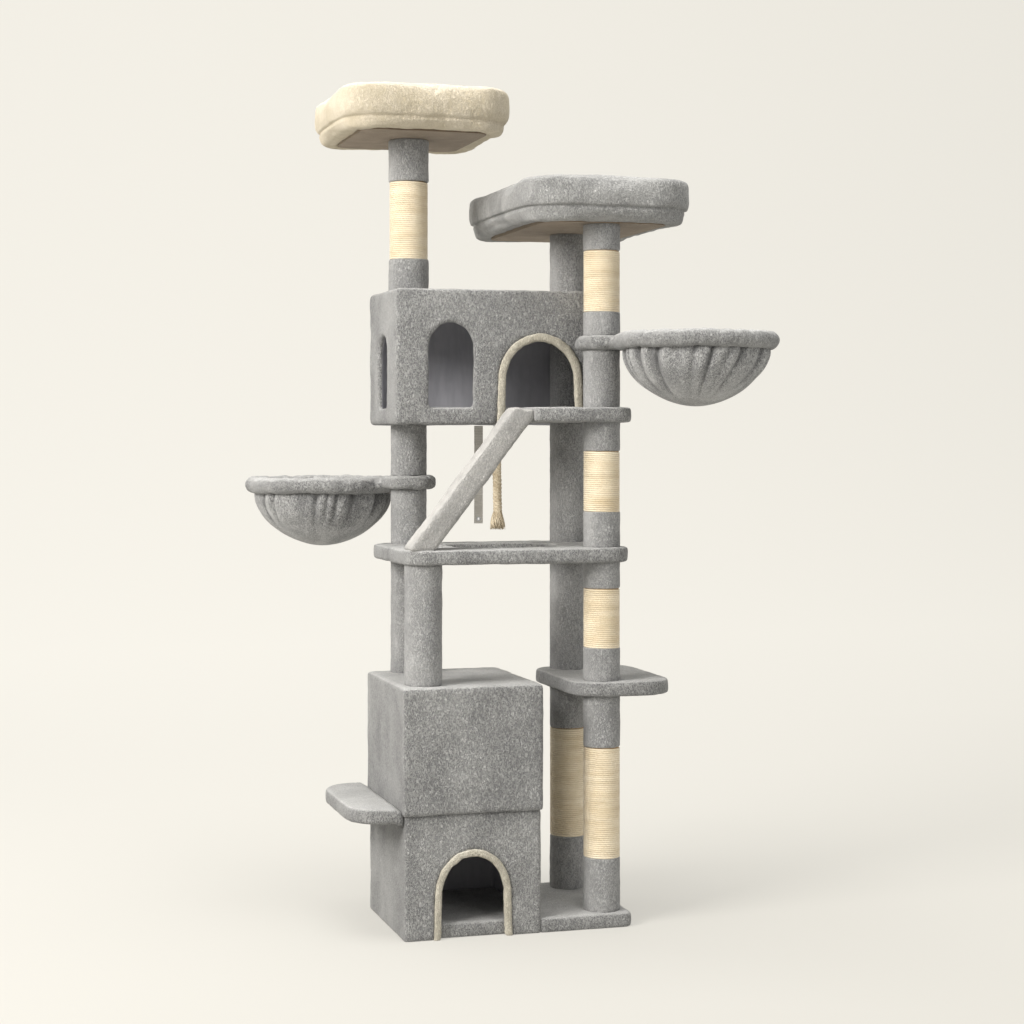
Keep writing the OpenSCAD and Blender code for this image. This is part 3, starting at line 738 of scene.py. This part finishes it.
def ramp_stitching():
    """Raised seam along the ramp's upper front edge."""
    along = (RAMP_HEAD - RAMP_FOOT).normalized()
    up = Vector((-along.z, 0, along.x))
    edge = up * 0.0222 + Vector((0, -0.1905, 0))
    reach = (RAMP_HEAD - RAMP_FOOT).length - 0.012
    path = [RAMP_FOOT + edge + along * (0.018 + (reach - 0.018) * i / 40) for i in range(41)]
    path = [p + Vector((0, 0.0006 * math.sin(i * 1.7), 0.0006 * math.cos(i * 2.3)))
            for i, p in enumerate(path)]
    return tube_object("ramp_stitching", [path], [[0.0026] * 41], 8, ramp_plush)


stitching = ramp_stitching()
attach(stitching, "tree")
print("ramp seam:", len(stitching.data.polygons), "faces")

# %% [markdown]
# ## Door bindings
# A strip of cream fleece is folded over the edge of each doorway. It is a soft tube
# that follows the arch, a little proud of the panel on both sides.

# %% Door bindings
def binding(name, source):
    piece = remeshed(merged_boards(name, [source]), 0.003, 7)
    grow(piece, 0.0016, scale=60, rough=0.0016, seed=10)
    return dress(piece, cream_binding, "tree", "cream_plush", source)


binding("lower_door_binding", "lower_door_trim")
binding("condo_door_binding", "condo_door_trim")

# %% [markdown]
# ## Posts
# Each post is a cardboard tube in a sewn plush sleeve, with bands of sisal twine. The
# sleeve is a lathe profile: nearly straight, with its ends turned under.

# %% Lathe
def lathe(name, profile, centre=(0, 0, 0), sides=96, ripple=None):
    """Turn a closed (radius, height) profile about a vertical axis. ripple(angle, k)
    changes the radius and height of profile point k at an angle."""
    points, faces = [], []
    count = len(profile)
    for i in range(sides):
        a = 2 * math.pi * i / sides
        for k, (r, z) in enumerate(profile):
            dr, dz = ripple(a, k) if ripple else (0.0, 0.0)
            points.append((centre[0] + (r + dr) * math.cos(a),
                           centre[1] + (r + dr) * math.sin(a), centre[2] + z + dz))
    for i in range(sides):
        j = (i + 1) % sides
        for k in range(count):
            m = (k + 1) % count
            faces.append((i * count + k, j * count + k, j * count + m, i * count + m))
    piece = mesh_object(name, points, faces)
    outward(piece)
    smooth_shade(piece)
    return piece


def sleeve_profile(inner, outer, low, high, step=0.006):
    """Cross-section of a plush sleeve whose ends turn under."""
    turn = 0.004
    outside = [(outer - turn * (1 - math.sin(a)), low + turn * (1 - math.cos(a)))
               for a in np.linspace(0, math.pi / 2, 4)]
    count = max(2, int((high - low - 2 * turn) / step))
    outside += [(outer, low + turn + (high - low - 2 * turn) * i / count)
                for i in range(1, count)]
    outside += [(outer - turn * (1 - math.sin(a)), high - turn * (1 - math.cos(a)))
                for a in np.linspace(math.pi / 2, 0, 4)]
    return outside + [(inner, high), (inner, low)]


def join_meshes(name, pieces):
    """One object from several; the sources go."""
    work = bmesh.new()
    for piece in pieces:
        work.from_mesh(piece.data)
    mesh = bpy.data.meshes.new(name)
    work.to_mesh(mesh)
    work.free()
    for piece in pieces:
        bpy.data.objects.remove(piece)
    joined = add_object(name, mesh)
    smooth_shade(joined)
    return joined


# %% Sleeves
THICK_POST_FROM = 1.55
SLEEVE_SWELL, LINING_SWELL, BAND_SWELL = 0.0055, 0.0050, 0.0035
SLEEVE_CLOTH, SLEEVE_TUCK = 0.0036, 0.0005


def post_swell(node, low, amount):
    """The cream bed's post is padded a little thicker than the others."""
    return amount if node.startswith("left") and low[2] > THICK_POST_FROM else 0.0


def post_sleeve(node, seed):
    parts = []
    for low, high in islands(node):
        centre = ((low[0] + high[0]) / 2, (low[1] + high[1]) / 2, 0)
        outer = (high[0] - low[0]) / 2 + post_swell(node, low, SLEEVE_SWELL)
        inner = outer - SLEEVE_CLOTH - post_swell(node, low, LINING_SWELL)
        profile = sleeve_profile(inner, outer - SLEEVE_TUCK, low[2], high[2])
        parts.append(lathe("sleeve_part", profile, centre, 72))
    piece = join_meshes(node.replace("_plush", "_sleeve"), parts)
    grow(piece, 0.0, scale=30, rough=0.0010, seed=seed)
    return dress(piece, post_plush, "tree", "grey_plush", node)


for i, post in enumerate(("front_right", "rear_right", "left")):
    post_sleeve(post + "_plush", 11 + i)

# %% [markdown]
# ## Wound sisal
# A band is one twine wound tightly from bottom to top. A spiral curve and a round
# profile make it in Geometry Nodes, so the pitch, the height and the thickness stay
# named inputs, and every band is made by the same tree.

# %% Sisal finish
def sisal_finish():
    finish = Finish("sisal_twine", roughness=0.75, Sheen_Weight=0.2)
    fibre = finish.noise(finish.place((1, 1, 2.2)), 420, 3, 0.65)
    bands = finish.noise(finish.place((0.15, 0.15, 1)), 60, 2)
    soft = finish.noise(finish.place(), 14, 2)
    tone = finish.step(fibre * 0.55 + bands * 0.3 + soft * 0.2, 0.30, 0.72)
    finish.color(finish.mix(tone, paint(202, 182, 146), paint(242, 231, 208)))
    finish.bump(fibre, 0.0009, 0.8)
    return finish.material


sisal_twine = sisal_finish()


# %% The winding tree
class NodeTree:
    """A Geometry Nodes tree with named inputs."""

    def __init__(self, name, **numbers):
        self.tree = bpy.data.node_groups.new(name, "GeometryNodeTree")
        self.tree.interface.new_socket("Geometry", in_out="OUTPUT",
                                       socket_type="NodeSocketGeometry")
        self.names = {}
        for key, value in numbers.items():
            kind = "NodeSocketInt" if isinstance(value, int) else "NodeSocketFloat"
            made = self.tree.interface.new_socket(key.replace("_", " "), in_out="INPUT",
                                                  socket_type=kind)
            made.default_value = value
            self.names[key] = made.identifier
        self.inputs = self.tree.nodes.new("NodeGroupInput")
        self.result = self.tree.nodes.new("NodeGroupOutput")

    def get(self, key):
        return self.inputs.outputs[key.replace("_", " ")]

    def node(self, kind, settings=(), inputs=(), output=0):
        made = self.tree.nodes.new(kind)
        for key, value in dict(settings).items():
            setattr(made, key, value)
        for key, value in dict(inputs).items():
            if isinstance(value, bpy.types.NodeSocket):
                self.tree.links.new(value, made.inputs[key])
            else:
                made.inputs[key].default_value = value
        return made.outputs[output]

    def finish(self, geometry, material):
        real = self.node("GeometryNodeRealizeInstances", {}, {"Geometry": geometry})
        painted = self.node("GeometryNodeSetMaterial", {}, {"Geometry": real,
                                                            "Material": material})
        self.tree.links.new(painted, self.result.inputs[0])
        return self

    def make(self, name, **numbers):
        """The tree's result with these inputs, as a plain mesh object."""
        holder = add_object(name, bpy.data.meshes.new(name))
        runner = holder.modifiers.new("nodes", "NODES")
        runner.node_group = self.tree
        for key, value in numbers.items():
            runner[self.names[key]] = value
        return apply_modifiers(holder)


winding = NodeTree("wound_twine", Radius=0.043, Height=0.1, Turns=20.0, Twine=0.0026)
coil = winding.node("GeometryNodeCurveSpiral", {}, {
    "Resolution": 44, "Rotations": winding.get("Turns"), "Start Radius": winding.get("Radius"),
    "End Radius": winding.get("Radius"), "Height": winding.get("Height")})
round_profile = winding.node("GeometryNodeCurvePrimitiveCircle", {}, {
    "Resolution": 6, "Radius": winding.get("Twine")})
winding.finish(winding.node("GeometryNodeCurveToMesh", {}, {
    "Curve": coil, "Profile Curve": round_profile, "Fill Caps": True}), sisal_twine)
print("winding tree:", len(winding.tree.nodes), "nodes")


# %% Wind the bands
TWINE_PITCH = 0.0050
TWINE_RADIUS = TWINE_PITCH * 0.53
BAND_OVERLAP = 0.0018


def sisal_bands(node):
    parts = []
    turns_made = 0
    for low, high in islands(node):
        outer = (high[0] - low[0]) / 2 + post_swell(node, low, BAND_SWELL)
        height = high[2] - low[2] - 2 * TWINE_RADIUS + 2 * BAND_OVERLAP
        turns = round(height / TWINE_PITCH)
        band = winding.make("band", Radius=outer - TWINE_RADIUS, Height=height,
                            Turns=float(turns), Twine=TWINE_RADIUS)
        write_points(band.data, read_points(band.data) + np.array(
            [(low[0] + high[0]) / 2, (low[1] + high[1]) / 2,
             low[2] + TWINE_RADIUS - BAND_OVERLAP]))
        parts.append(band)
        turns_made += turns
    piece = join_meshes(node.replace("_sisal", "_sisal_twine"), parts)
    outward(piece)
    print(node, "turns:", turns_made)
    return dress(piece, sisal_twine, "tree", "sisal", node)


for post in ("front_right", "rear_right", "left"):
    sisal_bands(post + "_sisal")

# %% Finish the tubes and the fittings
FITTINGS = {tube_card: ("front_right_tubes", "rear_right_tubes", "left_tubes"),
            birch_plug: ("post_end_plugs",),
            zinc_steel: ("post_studs", "post_bolts", "panel_screws", "ramp_bolts",
                         "left_hammock_bracket", "left_hammock_hoop",
                         "right_hammock_bracket", "right_hammock_hoop",
                         "rope_eye", "strap_eyelet"),
            taupe_weave: ("left_perch_board", "right_perch_board")}
for material, names in FITTINGS.items():
    for node in names:
        piece = nodes[node]
        piece.data.materials.clear()
        piece.data.materials.append(material)
print("fittings:", sum(len(names) for names in FITTINGS.values()))

# %% [markdown]
# ## Perch beds
# Each bed is a foam ring in plush round a thin cushion, with a second, flatter roll
# under its edge that wraps the board. Foam in a tight cover swells between its seams,
# so the forms are inflated as cloth with a little pressure, and capped so that they
# keep their size.

# %% Inflate a padded form
def inflate(piece, cap, pressure=4.0, frames=20):
    """Swell a closed mesh as cloth, each point by no more than cap metres."""
    start = read_points(piece.data)
    puff = piece.modifiers.new("puff", "CLOTH")
    puff.settings.use_pressure = True
    puff.settings.uniform_pressure_force = pressure
    puff.settings.effector_weights.gravity = 0
    puff.settings.tension_stiffness = 12
    puff.settings.bending_stiffness = 2.5
    puff.collision_settings.use_collision = False
    puff.point_cache.frame_start, puff.point_cache.frame_end = 1, frames
    scene = bpy.context.scene
    for frame_number in range(1, frames + 1):
        scene.frame_set(frame_number)
    graph = bpy.context.evaluated_depsgraph_get()
    swollen = bpy.data.meshes.new_from_object(piece.evaluated_get(graph))
    piece.modifiers.clear()
    scene.frame_set(1)
    moved = read_points(swollen) - start
    reach = np.linalg.norm(moved, axis=1)
    keep = np.minimum(1.0, cap / np.maximum(reach, 1e-9))
    write_points(piece.data, start + moved * keep[:, None])
    bpy.data.meshes.remove(swollen)
    return piece


def rest_on(piece, height):
    """Flatten what hangs below a height, as a pad lies flat on its board."""
    points = read_points(piece.data)
    points[:, 2] = np.maximum(points[:, 2], height)
    write_points(piece.data, points)


def pinch(piece, seam_z, depth, width=0.0035):
    """Pull a level seam in: the stitches hold the cover down to the board's edge."""
    mesh = piece.data
    points, normals = read_points(mesh), read_points(mesh, "normal")
    near = np.exp(-((points[:, 2] - seam_z) / width) ** 2)
    near *= np.linalg.norm(normals[:, :2], axis=1)
    write_points(mesh, points - normals * (depth * near)[:, None])


def padded_form(name, sources, material, slot, body, voxel=0.006, rounds=10, lift=0.0,
                cap=0.008, rough=0.0016, seed=1, seam=None, floor=None):
    """A stuffed piece grown from its plain solids in the frame. seam is the height and
    the depth of a stitched seam round it; floor is the height that it rests on."""
    piece = remeshed(merged_boards(name, sources), voxel, rounds)
    grow(piece, lift)
    inflate(piece, cap)
    finer = piece.modifiers.new("finer", "SUBSURF")
    finer.levels = finer.render_levels = 1
    apply_modifiers(piece)
    if seam:
        pinch(piece, *seam)
    grow(piece, 0.0, scale=22, rough=rough, seed=seed)
    if floor is not None:
        rest_on(piece, floor)
    dress(piece, material, body, slot, *sources)
    return piece


# %% The two beds
for side, material, slot, seed, depth, drop in (
        ("left", cream_plush, "cream_plush", 21, 0.0050, 0.010),
        ("right", bed_plush, "grey_plush", 31, 0.0075, 0.003)):
    seam_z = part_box(f"{side}_perch_bolster")[0][2] - drop
    padded_form(f"{side}_perch_rolls", [f"{side}_perch_bolster", f"{side}_perch_wrap"],
                material, slot, "tree", voxel=0.006, rounds=30, lift=0.003, cap=0.007,
                seed=seed, seam=(seam_z, depth))
    padded_form(f"{side}_perch_pad", [f"{side}_perch_cushion"], material, slot, "tree",
                voxel=0.008, rounds=12, lift=0.005, cap=0.012, seed=seed + 2,
                floor=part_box(f"{side}_perch_cushion")[0][2])

# %% [markdown]
# ## Hammock bowls
# A hammock is a round of plush gathered onto a steel hoop. The gathers are deep at the
# rim and die out on the way down, and no two are alike. The bowl is one curved sheet whose
# radius ripples with angle; the sleeve that hides the hoop is a puckered ring. Shade is
# painted into the bowl's creases.

# %% Place a hammock
HUBS = {"left": (-0.195, 0.139), "right": (0.227, -0.1416)}
HAMMOCK_TURN = {"left": math.radians(137.5), "right": math.radians(-45)}
HAMMOCK_DROOP = {"left": 0.008, "right": 0.0}
HAMMOCK_REACH = 0.253
RIM_TUBE = 0.020
HOOP_RADIUS = 0.199 - RIM_TUBE
BOWL_DEPTH = 0.138
COLLAR_HEIGHT = 0.033


def hammock_place(side):
    """Where the hammock's own axes stand: origin on the post, x along its reach."""
    low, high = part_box(f"{side}_hammock_collar")
    z = (low[2] + high[2]) / 2 - HAMMOCK_DROOP[side]
    return (Matrix.Translation((*HUBS[side], z))
            @ Matrix.Rotation(HAMMOCK_TURN[side], 4, "Z"))


def ring_noise(angle, scale, seed):
    """Noise round a ring, which ends where it began."""
    return noise.noise(Vector((math.cos(angle) * scale, math.sin(angle) * scale, seed)))


def gather_puff(angle, seed, count=19):
    """Irregular gathers round the rim: 0 in a narrow crease, 1 on a broad puff."""
    drift = ring_noise(angle, 1.3, seed)
    wobble = ring_noise(angle, 4.0, seed + 4)
    wave = abs(math.sin(count / 2 * angle + 4.2 * drift + 1.9 * wobble))
    depth = 0.55 + 0.9 * ring_noise(angle, 2.6, seed + 8)
    return 1 - (1 - wave ** 0.5) * min(1.0, max(0.2, depth + 0.3))


# %% The bowl
GATHER_DEPTH, BOWL_BELLY, CLOTH_THICKNESS = 0.026, 0.009, 0.004


def bowl_mesh(name, seed, slant, reach):
    """reach is how far down the gathers run, from 0 at the rim to 1 at the bottom."""
    sides, rings = 288, 44
    radius = HOOP_RADIUS - 0.003
    points, faces, crease_shade = [], [], []
    for i in range(rings):
        t = math.sin(math.pi / 2 * i / rings)
        base = radius * (1 - t * t) ** 0.55
        fade = max(0.0, 1 - t / reach) ** 0.8
        for k in range(sides):
            a = 2 * math.pi * k / sides
            lean = a + slant * t * (1 + 0.8 * math.cos(a - 0.9))
            crease = 1 - gather_puff(lean, seed)
            fine = 0.35 * (1 - gather_puff(lean + 0.4, seed + 9, 33)) * max(0.0, 1 - t / 0.4)
            soft = 0.003 * ring_noise(a, 3, t * 4 + seed)
            belly = BOWL_BELLY * math.sin(math.pi * min(1, t * 1.25)) * fade
            r = base + belly + soft - GATHER_DEPTH * fade * (crease + fine)
            points.append((r * math.cos(a), r * math.sin(a), -RIM_TUBE * 0.45
                           - (BOWL_DEPTH + RIM_TUBE * 0.55) * t))
            # Painted shade for the finish: strongest in the deep creases near the rim.
            crease_shade.append(min(1.0, 1.3 * fade * crease))
    points.append((0, 0, -RIM_TUBE - BOWL_DEPTH))
    for i in range(rings - 1):
        for k in range(sides):
            m = (k + 1) % sides
            faces.append((i * sides + k, (i + 1) * sides + k,
                          (i + 1) * sides + m, i * sides + m))
    last = (rings - 1) * sides
    faces += [(last + k, len(points) - 1, last + (k + 1) % sides) for k in range(sides)]
    piece = mesh_object(name, points, faces)
    # The painted crease shade is stored on the points, where the finish reads it.
    mark = piece.data.attributes.new("crease", "FLOAT", "POINT")
    mark.data.foreach_set("value", crease_shade + [0.0])
    return piece


def hammock_bowl(side, seed, slant, reach):
    piece = bowl_mesh(f"{side}_hammock_cloth", seed, slant, reach)
    piece.data.transform(hammock_place(side) @ Matrix.Translation((HAMMOCK_REACH, 0, 0)))
    outward(piece)
    thick = piece.modifiers.new("thick", "SOLIDIFY")
    thick.thickness = CLOTH_THICKNESS
    thick.offset = -1.0
    apply_modifiers(piece)
    dress(piece, gathered_plush, f"{side}_hammock", "grey_plush", f"{side}_hammock_bowl")
    return piece


hammock_bowl("left", 3, 0.08, 0.72)
hammock_bowl("right", 7, 0.30, 0.92)


# %% The rim sleeve and the collar
def rim_ring(name, seed):
    """Puckered ring round the hoop, in the hammock's own axes."""
    sides, ring = 300, 20
    points, faces = [], []
    for k in range(sides):
        a = 2 * math.pi * k / sides
        pucker = gather_puff(a, seed) + 0.4 * gather_puff(a + 0.3, seed + 2, 34)
        tube = RIM_TUBE * (0.82 + 0.16 * pucker)
        lift = 0.0030 * ring_noise(a, 3, seed + 5)
        for m in range(ring):
            b = 2 * math.pi * m / ring
            r = HOOP_RADIUS + tube * math.cos(b)
            points.append((HAMMOCK_REACH + r * math.cos(a), r * math.sin(a),
                           tube * math.sin(b) + lift))
    for k in range(sides):
        n = (k + 1) % sides
        for m in range(ring):
            o = (m + 1) % ring
            faces.append((k * ring + m, n * ring + m, n * ring + o, k * ring + o))
    piece = mesh_object(name, points, faces)
    outward(piece)
    return piece


def collar_disc(name, radius, seed):
    """Padded disc between two lengths of post, wrapped in slanting folds."""
    half = COLLAR_HEIGHT / 2
    edge = 0.014
    arc = [(radius - edge + edge * math.cos(a), (half - edge) * np.sign(math.sin(a))
            + edge * math.sin(a)) for a in np.linspace(-math.pi / 2, math.pi / 2, 11)]
    flat = [(r, -half) for r in (0.0065, 0.02, 0.034, 0.046)]
    profile = flat + arc + [(r, half) for r, _ in reversed(flat)]

    def folds(angle, k):
        r, z = profile[k]
        outer = max(0.0, (r - 0.046) / (radius - 0.046))
        fold = math.sin(8 * angle + 95 * z + 2 * ring_noise(angle, 2, seed))
        return 0.0026 * fold * outer, 0.0

    return lathe(name, profile, sides=144, ripple=folds)


def neck_pad(name):
    """Padding over the arm, between the collar and the ring."""
    work = bmesh.new()
    bmesh.ops.create_uvsphere(work, u_segments=32, v_segments=16, radius=1.0)
    bmesh.ops.scale(work, vec=(0.040, 0.062, 0.0195), verts=work.verts)
    bmesh.ops.translate(work, vec=(0.070, 0, 0), verts=work.verts)
    mesh = bpy.data.meshes.new(name)
    work.to_mesh(mesh)
    work.free()
    return add_object(name, mesh)


def hammock_sleeve(side, radius, seed):
    ring = rim_ring("ring", seed)
    neck = neck_pad("neck")
    disc = collar_disc("disc", radius, seed + 1)
    disc.data.transform(Matrix.Translation((0, 0, HAMMOCK_DROOP[side])))
    piece = join_meshes(f"{side}_hammock_sleeve", [ring, neck, disc])
    remeshed(piece, 0.0033, 3)
    piece.data.transform(hammock_place(side))
    grow(piece, 0.0008, scale=48, rough=0.0018, seed=seed)
    return dress(piece, grey_plush, f"{side}_hammock", "grey_plush",
                 f"{side}_hammock_rim", f"{side}_hammock_collar")


hammock_sleeve("left", 0.068, 13)
hammock_sleeve("right", 0.064, 17)

# %% [markdown]
# ## Wall strap
# A short piece of flat webbing hangs behind the condo's floor, its lower end folded
# round a steel eyelet. It is modelled flat, as a strip with a hole, and hangs plumb.

# %% Strap
STRAP_WIDTH, STRAP_THICK = 0.023, 0.0016
EYE_RADIUS, EYE_PULL = 0.0032, 0.0036


def webbing_strip():
    low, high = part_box("strap")
    x = (low[0] + high[0]) / 2
    y = (low[1] + high[1]) / 2
    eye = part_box("strap_eyelet")
    eye_z = (eye[0][2] + eye[1][2]) / 2
    work = bmesh.new()
    columns, rows = 8, 84
    half = STRAP_WIDTH / 2
    rows_z = np.linspace(low[2], high[2], rows + 1)
    grid = [[work.verts.new((x - half + STRAP_WIDTH * c / columns, y, z))
             for c in range(columns + 1)] for z in rows_z]
    for r in range(rows):
        for c in range(columns):
            corners = (grid[r][c], grid[r][c + 1], grid[r + 1][c + 1], grid[r + 1][c])
            middle = sum((v.co for v in corners), Vector()) / 4
            if math.hypot(middle.x - x, middle.z - eye_z) > EYE_RADIUS:
                work.faces.new(corners)
    for vert in work.verts:
        dx, dz = vert.co.x - x, vert.co.z - eye_z
        reach = math.hypot(dx, dz)
        if 0.0001 < reach < EYE_PULL:
            vert.co.x = x + dx / reach * EYE_RADIUS
            vert.co.z = eye_z + dz / reach * EYE_RADIUS
    bmesh.ops.delete(work, geom=[v for v in work.verts if not v.link_faces], context="VERTS")
    for vert in work.verts:
        vert.co.y += 0.0003 * math.sin(vert.co.z * 900) - 0.0008 * math.sin(
            (vert.co.z - low[2]) * 9)
    mesh = bpy.data.meshes.new("wall_strap_webbing")
    work.to_mesh(mesh)
    work.free()
    piece = add_object("wall_strap_webbing", mesh)
    thick = piece.modifiers.new("thick", "SOLIDIFY")
    thick.thickness = STRAP_THICK
    thick.offset = 0
    apply_modifiers(piece)
    outward(piece)
    return piece, high[2] - low[2]


strap, strap_length = webbing_strip()
strap.data.materials.append(webbing_weave)
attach(strap, "wall_strap")
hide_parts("strap")
print("strap:", round(strap_length, 4), "m long")
